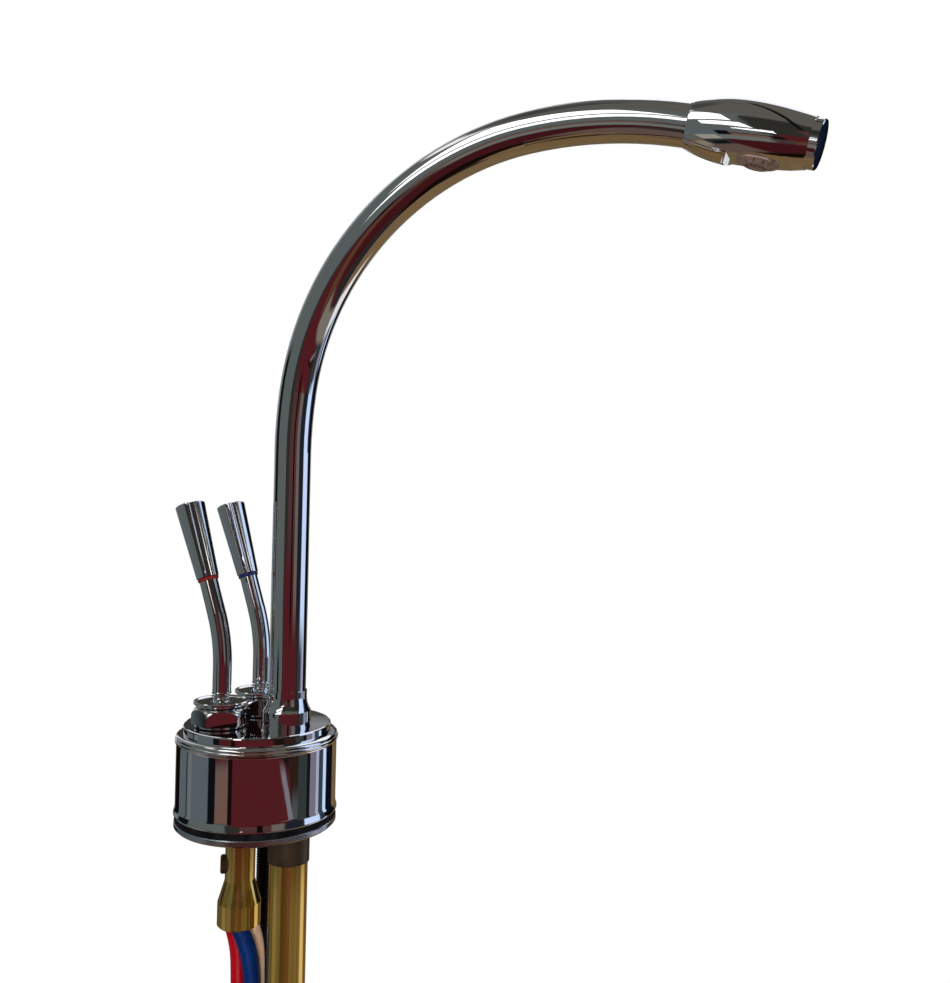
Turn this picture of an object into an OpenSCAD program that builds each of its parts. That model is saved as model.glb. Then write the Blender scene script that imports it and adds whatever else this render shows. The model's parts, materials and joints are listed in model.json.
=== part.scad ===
// Deck-mounted boiling water tap: bent swivel spout, two tilting levers, round base.
// The deck plane is z = 0 under the base ring, the spout reaches towards +X,
// and the levers stand behind it, the hot one on the -Y side.

/* [Base] */
// Outer diameter of the base shell
shell_d = 55.2; // [54:0.1:60]
// How far the rolled lip and the foot of the shell stand out
lip_out = 0.5; // [0.4:0.1:1.6]
// Height of the shell from its foot to the top of the lip
shell_h = 26.4; // [25:0.1:36]
// Wall of the shell
shell_wall = 1.8; // [1.2:0.1:2.4]
// Rise of the shoulder between the lip and the disc
shoulder_h = 1.2; // [0.6:0.1:2]
// How far the disc stands in from the side of the shell
disc_step = 2.2; // [1.4:0.1:2.6]
// Thickness of the top disc
disc_h = 2.8; // [2:0.1:4]
// Thickness of the metal ring under the base
ring_h = 2.4; // [1.6:0.1:4]
// Thickness of the rubber gasket between ring and shell
gasket_h = 2.2; // [1:0.1:3]
// Opening in the ring and the gasket for what hangs below
opening_d = 43.4; // [43.2:0.1:45]

/* [Valve block] */
// Height of the brass block under the disc
block_h = 24; // [23:0.1:25]
// Diameter of the valve chambers
chamber_d = 8.4; // [8:0.1:9]
// Thickness of the seat rings in the chambers
valve_seat_h = 1.5; // [1:0.1:1.6]
// Diameter of the water drillings
drilling_d = 3.6; // [2.4:0.1:4]

/* [Bonnets] */
// Distance of the lever axes behind the centre of the base
lever_back = 7.35; // [6.6:0.05:8]
// Distance between the two lever axes
lever_spread = 22.4; // [21.4:0.1:23]
// Size of the bonnets' hexagon across its flats
bonnet_af = 17.4; // [17:0.1:18.6]
// Height of the hexagon above the disc
bonnet_h = 6.7; // [5.6:0.1:7.4]
// Radius of the dome that trims the hexagon's corners
dome_r = 3.8; // [3.2:0.1:4.2]
// Diameter of the threaded spigot below the hexagon
spigot_d = 14; // [13.4:0.1:15]
// Length of the spigot
spigot_h = 10.4; // [10:0.1:11]
// Diameter of the round cap on a bonnet
cap_d = 18.8; // [17:0.1:19.4]
// Thickness of the cap
cap_h = 1.4; // [1.2:0.1:1.8]
// Depth of the dish in the cap
dish_h = 0.4; // [0.2:0.1:0.6]

/* [Levers] */
// Diameter of the ball that a lever turns on
ball_d = 8.8; // [8.4:0.1:9.2]
// Diameter of the cross pin that a lever tilts on
pin_d = 2; // [1.6:0.1:2.2]
// Diameter of the neck between the ball and the stem
neck_d = 5; // [4.4:0.1:5.2]
// Gap under the stem, above the cap
stem_gap = 2.1; // [1.8:0.1:4]
// Diameter of the stem
stem_d = 6.4; // [5.8:0.1:7]
// Length of the straight foot of the stem
stem_foot = 9.6; // [6:0.1:16]
// Radius of the bend in the stem
stem_bend_r = 55; // [30:1:90]
// Lean of a lever above its bend, in degrees
lean = 19; // [8:0.5:24]
// Length of the stem above its bend
stem_top = 11.7; // [6:0.1:20]
// Diameter of the coloured ring
mark_d = 7.2; // [6.8:0.1:8]
// Height of the coloured ring
mark_h = 1.3; // [0.8:0.1:2]
// Length of the grip
grip_l = 26.8; // [20:0.1:36]
// Diameter of the grip at its foot
grip_foot_d = 7.7; // [7:0.1:8.4]
// Diameter of the grip at its top
grip_top_d = 10.3; // [9:0.1:12]
// Diameter of the round flutes
flute_d = 4; // [3.6:0.1:6]
// Depth of the flutes at the foot of the grip
flute_foot = 0.3; // [0.2:0.1:0.8]
// Depth of the flutes at its top
flute_top = 1.5; // [1:0.1:1.8]
// Number of flutes
flutes = 3; // [3:1:4]
// How far a lever tilts back, in degrees
throw = 15; // [8:1:15]

/* [Valves] */
// Diameter of the foot disc under the ball
foot_disc_d = 6.6; // [6:0.1:6.8]
// Depth of that disc's face under the centre of the ball
foot_depth = 5.8; // [5.6:0.1:6]
// Diameter of the plunger's head
head_plate_d = 9.2; // [8.6:0.1:9.4]
// Thickness of the plunger's head
head_plate_h = 1.2; // [0.8:0.1:1.6]
// Diameter of the plunger's rod
rod_d = 3; // [2.4:0.1:3.2]
// Wire of the return spring
wire_d = 0.8; // [0.5:0.1:0.9]
// Outer diameter of the return spring
spring_d = 7.2; // [6:0.1:7.8]
// Turns of the return spring
spring_turns = 3.5; // [2.5:0.5:3.5]
// Diameter of the rubber seal on the plunger
seal_d = 7.2; // [6.4:0.1:7.6]
// Thickness of that seal
seal_h = 1.6; // [1.2:0.1:1.8]

/* [Spout] */
// Distance of the spout's axis in front of the centre of the base
spout_x = 12; // [11.6:0.1:12.4]
// Outer diameter of the spout tube
tube_d = 12.7; // [11.6:0.1:13.2]
// Wall of the spout tube
tube_wall = 1; // [0.7:0.1:1.4]
// Height above the deck at which the riser starts to bend
riser_h = 130; // [90:1:200]
// Radius of the first, wide bend
bend_1_r = 150; // [80:1:240]
// Angle of the first bend
bend_1 = 8; // [2:0.5:20]
// Radius of the main bend
bend_2_r = 93; // [60:1:130]
// Angle of the main bend
bend_2 = 77; // [50:0.5:90]
// Radius of the last bend
bend_3_r = 140; // [80:1:220]
// Angle of the last bend
bend_3 = 21; // [5:0.5:30]

/* [Spout foot] */
// Height of the foot above the disc
foot_h = 12.4; // [9:0.1:16]
// Diameter of the foot at its flare
foot_d = 16.6; // [16:0.1:18]
// Diameter of the foot at its top
foot_top_d = 13.6; // [13.5:0.1:14.4]
// Height of the straight upper part of the foot
foot_straight = 2.2; // [1.6:0.1:6]
// Diameter of the threaded spigot under the foot
socket_d = 16; // [15.6:0.1:16.4]
// Length of that spigot
socket_h = 5; // [4.6:0.1:6]
// Diameter of the bore that the bush turns in
bush_bore_d = 14.2; // [14:0.1:14.6]
// Section of the spout's rubber rings
spout_oring_d = 1.4; // [1:0.1:1.6]

/* [Head] */
// Length of the outlet head behind its end ring
head_l = 35.4; // [33:0.1:44]
// Largest diameter of the head
head_d = 18.7; // [18:0.1:21]
// Distance of the largest diameter from the collar
head_peak = 15.5; // [12:0.1:20]
// Radius of the head's outline towards the collar
head_back_r = 46; // [40:1:90]
// Radius of the head's outline towards its end
head_front_r = 92; // [70:1:150]
// Diameter of the end ring
end_ring_d = 13.9; // [12.6:0.1:15]
// Length of the end ring
end_ring_h = 2.6; // [1.6:0.1:4]
// Diameter of the dark end disc
end_disc_d = 12.2; // [10:0.1:12.4]
// Rise of the end disc's dome
end_dome = 0.6; // [0.2:0.1:1]

/* [Nozzle] */
// Distance of the nozzle from the collar
nozzle_at = 22.3; // [20:0.1:26]
// Diameter of the nozzle in the head
nozzle_d = 9.7; // [8.8:0.1:10.4]
// Diameter of the nozzle at its mouth
nozzle_mouth_d = 7.2; // [6.8:0.1:8]
// Diameter of the nozzle's flange on the floor of the recess
nozzle_flange_d = 12; // [11:0.1:12.6]
// How far the nozzle stands out of its recess
nozzle_out = 1.5; // [1.2:0.1:2]
// Distance of the recess's floor from the head's axis
recess_at = 7.3; // [7:0.1:8]
// Diameter of the recess
recess_d = 20; // [16:0.1:21]
// Notches around the nozzle's mouth
notches = 12; // [8:1:16]

/* [Below the deck] */
// Distance of the tube sleeve behind the centre of the base
sleeve_back = 6.3; // [6:0.1:7]
// Diameter of the sleeve's neck
sleeve_d = 10.5; // [9.6:0.1:10.8]
// Diameter of the sleeve's mouth
mouth_d = 15.2; // [15:0.1:16.2]
// Depth at which the neck starts to widen
sleeve_neck = 21.4; // [18:0.1:34]
// Length of the cone
sleeve_cone = 7.8; // [5:0.1:12]
// Length of the mouth
sleeve_mouth = 8.4; // [6:0.1:12]
// Distance of the tail in front of the centre of the base
tail_x = 14.2; // [13.6:0.1:14.3]
// Diameter of the brass tail
tail_d = 13.2; // [12:0.1:13.4]
// Length of the tail below the deck
tail_l = 100; // [96:1:140]
// Diameter of the tail's turned end
tail_end_d = 10; // [9.6:0.1:10.4]
// Length of the turned end
tail_end_l = 15; // [10:1:15]
// Diameter of the dark collar on the tail
collar_d = 14.2; // [14:0.1:14.4]
// Depth of the collar's lower face
collar_l = 11.4; // [8:0.1:20]
// Diameter of the threaded stud
stud_d = 6; // [5:0.1:6]
// Length of the stud below the deck
stud_l = 90; // [87:1:120]
// Distance of the stud behind the centre of the base
stud_back = 6; // [5.6:0.1:6.4]
// Distance of the stud beside the centre of the base
stud_side = 14; // [13.6:0.1:14.6]
// Depth at which the clamp pad is parked
clamp_at = 75; // [66:1:78]
// Diameter of the clamp plate
clamp_d = 50; // [46:1:56]
// Thickness of the clamp plate
clamp_h = 2.5; // [1.6:0.1:3]
// Thickness of the rubber pad on it
pad_h = 2; // [1:0.1:3]
// Width of the slot in plate and pad
slot_w = 16.8; // [16.4:0.1:17]

/* [Tubes] */
// Diameter of the plastic tubes
hose_d = 6; // [5:0.1:6]
// Distance of the tubes from the axis of their bundle
hose_ring = 3.5; // [3.5:0.05:3.6]
// Room around the bundle in the mouth of the sleeve
bundle_gap = 0.5; // [0.4:0.1:0.8]

/* [Fits] */
// Radial clearance of what turns or slides
run_gap = 0.06; // [0.03:0.01:0.1]
// Radial clearance of what is screwed, soldered or glued in
fit_gap = 0.03; // [0.02:0.01:0.06]
// Clearance beside parts that only pass through
pass_gap = 0.4; // [0.3:0.05:0.6]

/* [Hidden] */
$fn = 96;

HOT = -1;
COLD = 1;
eps = 0.01;

// Levels of the base, from the deck up
gasket_z = ring_h;
shell_z = gasket_z + gasket_h;
lip_z = shell_z + shell_h;
shoulder_z = lip_z + shoulder_h;
disc_z = shoulder_z + disc_h;
block_z = shoulder_z - block_h;

shell_r = shell_d / 2;
lip_r = shell_r + lip_out;
lip_h = 1.3;
foot_lip_h = 1.6;
disc_r = shell_r - disc_step;
web_r = disc_r - 2.2;
block_r = web_r - pass_gap;
web_h = 3.4;
edge = 0.5;

// Levels of a bonnet, from the disc up
washer_h = 0.4;
bonnet_z = disc_z + washer_h;
land_h = 0.6;
hex_top_z = bonnet_z + bonnet_h;
groove_h = 0.4;
cap_z = hex_top_z + groove_h;
cap_top_z = cap_z + cap_h;
pivot_z = cap_top_z - ball_d / 2;
corner_r = bonnet_af / 2 / cos(30);
flat_towards = -50;
thread_r = spigot_d / 2;
spigot_z = bonnet_z - spigot_h;

// The ball's seat and the bore below it
ball_r = ball_d / 2;
seat_r = ball_r + 1.2;
seat_z = pivot_z - 3;
throw_bore_r = foot_depth * sin(throw) + foot_disc_d / 2 * cos(throw) + 0.2;
cap_hole_r = (cap_top_z - pivot_z) * tan(throw) + neck_d / 2 / cos(throw) + 0.15;
cap_seat_r = max(
    ball_section(cap_z - pivot_z) + 0.2,
    (cap_z - pivot_z) * tan(throw) + neck_d / 2 / cos(throw) + 0.15
);

// The valve's levels
floor_h = 2.6;
floor_z = spigot_z + floor_h;
contact_gap = 0.1;
plunger_z = pivot_z - foot_depth - contact_gap;
spring_top_z = plunger_z - head_plate_h;
spring_h = spring_top_z - floor_z;
oring_d = 1;
outlet_h = 5.6;
valve_seat_z = spigot_z - outlet_h;
seal_top_z = valve_seat_z - valve_seat_h - contact_gap;
flange_h = 0.8;
rod_r = rod_d / 2;
drilling_z = valve_seat_z + drilling_d / 2 + 0.4;

// Travel of a plunger at the full throw of its lever, and the chamber that it needs
travel = foot_depth * (cos(throw) - 1) + foot_disc_d / 2 * sin(throw);
chamber_z = seal_top_z - seal_h - flange_h - travel - 0.4;

// Levels of a lever, along its own axis
stem_z = cap_top_z + stem_gap;
bend_z = stem_z + stem_foot;
stem_r = stem_d / 2;
// The straight top is turned a hair thinner than the bend
stem_top_r = stem_r - 0.03;
dowel_r = 2.1;
// The flutes are turned so that one of them faces the front
flute_turn = 20;
dowel_l = 9;

// The spout and its foot
tube_r = tube_d / 2;
tube_bore_r = tube_r - tube_wall;
foot_r = foot_d / 2;
bush_bore_r = bush_bore_d / 2;
bush_r = bush_bore_r - run_gap;
bush_top_z = disc_z + 1.4;
bush_z = drilling_z + 1.6;
tube_z = bush_top_z - 3.4;
socket_z = disc_z - socket_h;
groove_w = spout_oring_d + 0.4;
oring_z = [bush_z + 2, bush_z + 5.2];
heading = bend_1 + bend_2 + bend_3;

// The outlet head, along its own axis
collar_h = 0.9;
head_r = head_d / 2;
head_bore_r = 4.4;
adaptor_r = tube_bore_r - fit_gap;
adaptor_l = 6;
// The tube is still bent where the straight adaptor sits in it
adaptor_tube_r = adaptor_r - adaptor_l * adaptor_l / 2 / bend_3_r - 0.03;
end_bore_r = 5;
end_plug_l = 4;
end_groove = 0.35;
end_disc_h = 0.9;
nozzle_r = nozzle_d / 2;
nozzle_seat = 4.6;
nozzle_washer_h = 0.6;
nozzle_bore_r = 2.9;
screen_h = 0.6;

// Below the deck
sleeve_r = sleeve_d / 2;
mouth_r = mouth_d / 2;
mouth_bore_r = hose_ring + hose_d / 2 + bundle_gap;
mouth_z = -sleeve_neck - sleeve_cone - sleeve_mouth;
mouth_recess = 3;
grommet_h = 4;
socket_depth = 5;
stud_depth = 4.6;
tail_bore_r = tail_end_d / 2 - 1;
screw_z = -16;
screw_turn = 218;
nut_af = 10;
nut_h = 5;
plate_z = -clamp_at - pad_h - clamp_h;
clamp_x = 2;
slot_from = -sleeve_back - mouth_r + 2;

// Directions of the tubes around the sleeve's axis
cold_turn = -69;
hot_turn = 171;
vent_turn = 51;

// How the bundle hangs: depth below the sleeve's grommet, sideways drift, and spread
hose_route = [
    [0, 0, 1], [3, 0.4, 1], [6, 1, 1], [9, 1.7, 1], [12, 2.3, 1], [15, 2.9, 1],
    [18, 3.4, 1], [21, 3.8, 1], [24, 4.1, 1], [28, 4.3, 1], [33, 4.5, 1], [40, 4.5, 1],
    [52, 4.4, 1.05], [68, 4.1, 1.2], [86, 3.7, 1.5], [104, 3.3, 1.9], [122, 2.9, 2.3],
    [142, 2.5, 2.7], [162, 2.2, 3], [182, 2, 3.2], [204, 1.8, 3.3], [228, 1.7, 3.35],
    [254, 1.7, 3.35], [280, 1.7, 3.35]
];
drift_turn = 12;
hose_sides = 10;

// Radius of the ball at a height above its centre
function ball_section(h) = sqrt(ball_r * ball_r - h * h);

// Radius of a barrel outline at a distance from its widest place
function barrel_r(radius, distance) =
    head_r - radius + sqrt(radius * radius - distance * distance);

// Point of a tube's route for one step of hose_route
function hose_point(step, turn) = [
    hose_ring * step[2] * cos(turn) + step[1] * cos(drift_turn),
    hose_ring * step[2] * sin(turn) + step[1] * sin(drift_turn),
    -step[0]
];

function unit(v) = v / norm(v);

// Direction of a route at point i: level at both ends, between its neighbours elsewhere
function heading_at(route, i) =
    i == 0 || i == len(route) - 1 ? [0, 0, -1] : unit(route[i + 1] - route[i - 1]);

// Ring of points around one point of a route
function ring_points(centre, direction, radius, sides) =
    let (across = unit(cross(direction, [0, 1, 0])), along = cross(direction, across))
    [for (k = [0 : sides - 1])
        centre + radius * (across * cos(360 * k / sides) + along * sin(360 * k / sides))];

// Faces of a closed tube of rings, each split into triangles
function tube_faces(rings, sides) = concat(
    [for (k = [1 : sides - 2]) [0, k, k + 1]],
    [for (k = [1 : sides - 2]) let (last = (rings - 1) * sides) [last, last + k + 1, last + k]],
    [for (i = [0 : rings - 2], k = [0 : sides - 1])
        [i * sides + k, (i + 1) * sides + k, i * sides + (k + 1) % sides]],
    [for (i = [0 : rings - 2], k = [0 : sides - 1])
        [i * sides + (k + 1) % sides, (i + 1) * sides + k, (i + 1) * sides + (k + 1) % sides]]
);

// Centre of the spring's wire at a share of its length
function coil_point(share) = [
    (spring_d - wire_d) / 2 * cos(360 * spring_turns * share),
    (spring_d - wire_d) / 2 * sin(360 * spring_turns * share),
    wire_d / 2 + 0.05 + (spring_h - wire_d - 0.1) * share
];

module ring(outer_r, inner_r, h) {
    difference() {
        cylinder(h = h, r = outer_r);
        translate([0, 0, -eps]) cylinder(h = h + 2 * eps, r = inner_r);
    }
}

module hexagon(af, h) {
    cylinder(h = h, r = af / 2 / cos(30), $fn = 6);
}

module lever_axis(side) {
    translate([-lever_back, side * lever_spread / 2, 0]) children();
}

module both_levers() {
    for (side = [HOT, COLD]) lever_axis(side) children();
}

module spout_axis() {
    translate([spout_x, 0, 0]) children();
}

// Frame at the far end of a bend towards +X
module after_bend(radius, angle) {
    translate([radius * (1 - cos(angle)), 0, radius * sin(angle)])
        rotate([0, angle, 0]) children();
}

// A bend towards +X of the outline given as a child, which stands around the axis
module bend(radius, angle) {
    translate([radius, 0, 0]) rotate([0, 0, 180]) rotate([90, 0, 0])
        rotate_extrude(angle = angle, $fn = 180) translate([radius, 0]) children();
}

module tube_outline(outer_r, inner_r) {
    difference() {
        circle(outer_r);
        circle(inner_r);
    }
}

// Frame of the head: local Z runs out along its axis, local X points down
module at_head() {
    spout_axis() translate([0, 0, riser_h])
        after_bend(bend_1_r, bend_1) after_bend(bend_2_r, bend_2) after_bend(bend_3_r, bend_3)
            children();
}

// Frame of the nozzle: local Z points out of the head's underside
module at_nozzle() {
    at_head() translate([0, 0, nozzle_at]) rotate([0, 90, 0]) children();
}

// Frame at the top of a lever's bend, leaning back
module lever_top() {
    translate([0, 0, bend_z]) rotate([0, 0, 180]) after_bend(stem_bend_r, lean) children();
}

// ---- Base ----

module base_ring() {
    color("lightslategray") rotate_extrude() polygon([
        [opening_d / 2, 0], [lip_r - 0.9, 0], [lip_r - 0.2, 0.7],
        [lip_r - 0.2, ring_h - 0.3], [lip_r - 0.5, ring_h], [opening_d / 2, ring_h]
    ]);
}

module base_gasket() {
    color("black") translate([0, 0, gasket_z])
        ring(shell_r + 0.1, opening_d / 2, gasket_h);
}

module shell_outline() {
    inner_r = shell_r - shell_wall;
    // Wall, foot and web
    polygon([
        [inner_r, shell_z], [lip_r, shell_z], [lip_r, shell_z + foot_lip_h * 0.4],
        [shell_r + lip_out * 0.35, shell_z + foot_lip_h], [shell_r, shell_z + foot_lip_h * 2],
        [shell_r, lip_z - lip_h - 0.4], [lip_r - 0.3, lip_z - lip_h],
        [lip_r, lip_z - lip_h + 0.3], [lip_r, lip_z - 0.4], [lip_r - 0.4, lip_z],
        [disc_r + 0.4, shoulder_z], [web_r, shoulder_z], [web_r, shoulder_z - web_h],
        [inner_r, shoulder_z - web_h - (inner_r - web_r)]
    ]);
}

module base_shell() {
    color("silver") rotate_extrude($fn = 128) shell_outline();
}

module top_disc() {
    color("silver") difference() {
        rotate_extrude($fn = 128) polygon([
            [0, shoulder_z], [disc_r, shoulder_z], [disc_r, disc_z - edge],
            [disc_r - edge * 0.3, disc_z - edge * 0.3], [disc_r - edge, disc_z], [0, disc_z]
        ]);
        both_levers() translate([0, 0, shoulder_z - 1])
            cylinder(h = disc_h + 2, r = thread_r + fit_gap);
        spout_axis() translate([0, 0, shoulder_z - 1])
            cylinder(h = disc_h + 2, r = socket_d / 2 + fit_gap);
    }
}

module valve_block() {
    color("goldenrod") difference() {
        translate([0, 0, block_z]) cylinder(h = block_h, r = block_r);
        // Wells for the bonnets, and the chambers below them
        both_levers() {
            translate([0, 0, spigot_z]) cylinder(h = block_h, r = thread_r + fit_gap);
            translate([0, 0, chamber_z]) cylinder(h = block_h, r = chamber_d / 2);
        }
        // Socket of the spout
        spout_axis() {
            translate([0, 0, socket_z]) cylinder(h = block_h, r = socket_d / 2 + fit_gap);
            translate([0, 0, valve_seat_z]) cylinder(h = block_h, r = bush_bore_r);
        }
        // Drillings from the chambers to the socket
        for (side = [HOT, COLD]) {
            reach = [spout_x + lever_back, side * lever_spread / 2];
            spout_axis() translate([0, 0, drilling_z])
                rotate([0, 0, atan2(reach[1], -reach[0])]) rotate([0, 90, 0])
                    cylinder(h = norm(reach), r = drilling_d / 2);
        }
        // Sockets below for sleeve, tail and stud
        translate([-sleeve_back, 0, block_z - 1])
            cylinder(h = socket_depth + 1, r = sleeve_r + fit_gap);
        translate([tail_x, 0, block_z - 1])
            cylinder(h = socket_depth + 1, r = tail_d / 2 + fit_gap);
        translate([-stud_back, stud_side, block_z - 1])
            cylinder(h = stud_depth + 1, r = stud_d / 2 + fit_gap);
    }
}

// ---- Levers and valves ----

module valve_seats() {
    color("gainsboro") both_levers() translate([0, 0, valve_seat_z - valve_seat_h])
        ring(chamber_d / 2 - fit_gap, rod_r + 1.1, valve_seat_h);
}

module bonnet_washers() {
    color("dimgray") both_levers() translate([0, 0, disc_z])
        ring(corner_r - 1.4, thread_r + fit_gap, washer_h);
}

module bonnet(side) {
    color("silver") lever_axis(side) difference() {
        union() {
            // Hexagon with a round land below and a dome over its corners
            translate([0, 0, bonnet_z]) cylinder(h = land_h + eps, r = bonnet_af / 2 + 0.2);
            intersection() {
                translate([0, 0, bonnet_z + land_h]) rotate([0, 0, flat_towards - 30])
                    hexagon(bonnet_af, bonnet_h - land_h);
                rotate_extrude() union() {
                    translate([0, bonnet_z]) square([corner_r + 0.1, bonnet_h - dome_r]);
                    translate([0, bonnet_z]) square([corner_r + 0.1 - dome_r, bonnet_h]);
                    translate([corner_r + 0.1 - dome_r, hex_top_z - dome_r]) circle(dome_r);
                }
            }
            // Groove under the cap
            translate([0, 0, hex_top_z - eps]) cylinder(h = groove_h + eps, r = cap_d / 2 - 1.4);
            // Spigot in the disc and the block
            translate([0, 0, spigot_z]) cylinder(h = spigot_h + eps, r = thread_r);
        }
        // Bore for the ball's seat, bore for the foot and the plunger, hole for the rod
        translate([0, 0, seat_z]) cylinder(h = cap_z - seat_z + 1, r = seat_r + fit_gap);
        translate([0, 0, floor_z]) cylinder(h = cap_z - floor_z, r = throw_bore_r);
        translate([0, 0, spigot_z - 1]) cylinder(h = floor_h + 2, r = rod_r + run_gap);
        translate([0, 0, spigot_z + 0.8]) cylinder(h = oring_d + 0.1, r = rod_r + run_gap + oring_d);
    }
}

module cap(side) {
    color("silver") lever_axis(side) rotate_extrude() polygon([
        [cap_seat_r, cap_z], [cap_d / 2 - 0.5, cap_z], [cap_d / 2, cap_z + 0.5],
        [cap_d / 2, cap_top_z - 0.3], [cap_d / 2 - 0.3, cap_top_z],
        [cap_d / 2 - 0.8, cap_top_z], [cap_d / 2 - 1.5, cap_top_z - dish_h],
        [cap_hole_r, cap_top_z - dish_h]
    ]);
}

module ball_seat(side) {
    color("white") lever_axis(side) difference() {
        translate([0, 0, seat_z]) cylinder(h = cap_z - seat_z - 0.1, r = seat_r);
        translate([0, 0, pivot_z]) sphere(ball_r + run_gap);
        translate([0, 0, pivot_z]) cylinder(h = ball_d, r = ball_r + run_gap);
        translate([0, 0, seat_z - 1]) cylinder(h = 4, r = foot_disc_d / 2 + 0.2);
        pin_bore(fit_gap);
    }
}

// Hole for the cross pin through the centre of a ball
module pin_bore(gap) {
    translate([0, 0, pivot_z]) rotate([90, 0, 0])
        cylinder(h = 3 * seat_r, r = pin_d / 2 + gap, center = true, $fn = 48);
}

module lever_pins() {
    color("gainsboro") both_levers() translate([0, 0, pivot_z]) rotate([90, 0, 0])
        cylinder(h = 2 * seat_r - 0.4, r = pin_d / 2, center = true, $fn = 48);
}

module stem(side) {
    color("silver") lever_axis(side) {
        // Ball with the bore for its pin, neck, and the foot disc that pushes the plunger
        difference() {
            union() {
                translate([0, 0, pivot_z]) sphere(ball_r);
                translate([0, 0, pivot_z])
                    cylinder(h = stem_z - pivot_z + eps, r = neck_d / 2);
                translate([0, 0, pivot_z - foot_depth])
                    cylinder(h = foot_depth, r = foot_disc_d / 2 - 1);
            }
            pin_bore(run_gap);
        }
        translate([0, 0, pivot_z - foot_depth]) cylinder(h = 0.8, r = foot_disc_d / 2);
        // Rolled lower edge, straight foot, bend and leaning top
        rotate_extrude() polygon([
            [0, stem_z], [stem_r - 0.1, stem_z], [stem_r + 0.15, stem_z + 0.25],
            [stem_r + 0.15, stem_z + 0.5], [stem_r, stem_z + 0.8], [stem_r, bend_z], [0, bend_z]
        ]);
        translate([0, 0, bend_z]) rotate([0, 0, 180]) bend(stem_bend_r, lean) circle(stem_r);
        lever_top() {
            cylinder(h = stem_top, r = stem_top_r);
            translate([0, 0, stem_top]) cylinder(h = mark_h + dowel_l, r = dowel_r);
        }
    }
}

module mark(side) {
    color(side == HOT ? "red" : "blue") lever_axis(side) lever_top()
        translate([0, 0, stem_top]) rotate_extrude() polygon([
            [dowel_r + fit_gap, 0], [mark_d / 2 - 0.3, 0], [mark_d / 2, 0.3],
            [mark_d / 2, mark_h - 0.3], [mark_d / 2 - 0.3, mark_h], [dowel_r + fit_gap, mark_h]
        ]);
}

module grip(side) {
    foot_axis = grip_foot_d / 2 - flute_foot + flute_d / 2;
    top_axis = grip_top_d / 2 - flute_top + flute_d / 2;
    color("silver") lever_axis(side) lever_top() translate([0, 0, stem_top + mark_h])
        difference() {
            union() {
                cylinder(h = grip_l - 0.5, r1 = grip_foot_d / 2, r2 = grip_top_d / 2);
                translate([0, 0, grip_l - 0.5])
                    cylinder(h = 0.5, r1 = grip_top_d / 2, r2 = grip_top_d / 2 - 0.5);
            }
            for (k = [0 : flutes - 1]) rotate([0, 0, flute_turn + 360 * k / flutes])
                translate([foot_axis, 0, 0])
                    rotate([0, atan((top_axis - foot_axis) / grip_l), 0])
                        translate([0, 0, -2]) cylinder(h = grip_l + 4, r = flute_d / 2);
            translate([0, 0, -1]) cylinder(h = dowel_l + 1.3, r = dowel_r + fit_gap);
        }
}

module plunger(side) {
    color("goldenrod") lever_axis(side) {
        translate([0, 0, spring_top_z]) cylinder(h = head_plate_h, r = head_plate_d / 2);
        translate([0, 0, seal_top_z - seal_h - flange_h])
            cylinder(h = spring_top_z - seal_top_z + seal_h + flange_h + eps, r = rod_r);
        translate([0, 0, seal_top_z - seal_h - flange_h]) cylinder(h = flange_h, r = rod_r + 1.1);
    }
}

module seal(side) {
    color("black") lever_axis(side) translate([0, 0, seal_top_z - seal_h])
        ring(seal_d / 2, rod_r + fit_gap, seal_h);
}

module rod_ring(side) {
    color("black") lever_axis(side) translate([0, 0, spigot_z + 0.85 + oring_d / 2])
        rotate_extrude($fn = 48) translate([rod_r + run_gap + oring_d / 2, 0])
            circle(oring_d / 2 - fit_gap, $fn = 24);
}

module spring(side) {
    steps = ceil(14 * spring_turns);
    sides = 6;
    centres = [for (i = [0 : steps]) coil_point(i / steps)];
    points = [for (i = [0 : steps])
        let (
            before = centres[max(i - 1, 0)],
            after = centres[min(i + 1, steps)],
            along = unit(after - before),
            out = unit([centres[i][0], centres[i][1], 0]),
            up = cross(out, along)
        )
        for (k = [0 : sides - 1])
            centres[i] + wire_d / 2 * (out * cos(360 * k / sides) + up * sin(360 * k / sides))];
    color("lightgray") lever_axis(side) translate([0, 0, floor_z])
        polyhedron(points, tube_faces(steps + 1, sides));
}

// ---- Spout ----

module spout_foot() {
    color("silver") spout_axis() difference() {
        union() {
            rotate_extrude() difference() {
                union() {
                    translate([0, disc_z]) square([foot_r, 0.7]);
                    translate([0, disc_z]) square([foot_r - 0.5, 1.3]);
                    translate([0, disc_z]) square([foot_r - 0.2, 2.2]);
                    translate([0, disc_z + 2]) square([foot_r, foot_h - foot_straight - 2]);
                    translate([0, disc_z]) square([foot_top_d / 2, foot_h]);
                }
                // The flare: a round hollow between the straight top and the beads
                translate([
                    foot_top_d / 2 + foot_h - foot_straight - 2, disc_z + foot_h - foot_straight
                ]) circle(foot_h - foot_straight - 2);
            }
            translate([0, 0, socket_z]) cylinder(h = socket_h + eps, r = socket_d / 2);
        }
        translate([0, 0, socket_z - 1])
            cylinder(h = bush_top_z - socket_z + 1.1, r = bush_bore_r);
        translate([0, 0, socket_z]) cylinder(h = foot_h + socket_h + 1, r = tube_r + run_gap);
    }
}

module spout_tube() {
    color("silver") spout_axis() {
        translate([0, 0, tube_z]) ring(tube_r, tube_bore_r, riser_h - tube_z);
        translate([0, 0, riser_h]) {
            bend(bend_1_r, bend_1) tube_outline(tube_r, tube_bore_r);
            after_bend(bend_1_r, bend_1) {
                bend(bend_2_r, bend_2) tube_outline(tube_r, tube_bore_r);
                after_bend(bend_2_r, bend_2)
                    bend(bend_3_r, bend_3) tube_outline(tube_r, tube_bore_r);
            }
        }
    }
}

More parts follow.
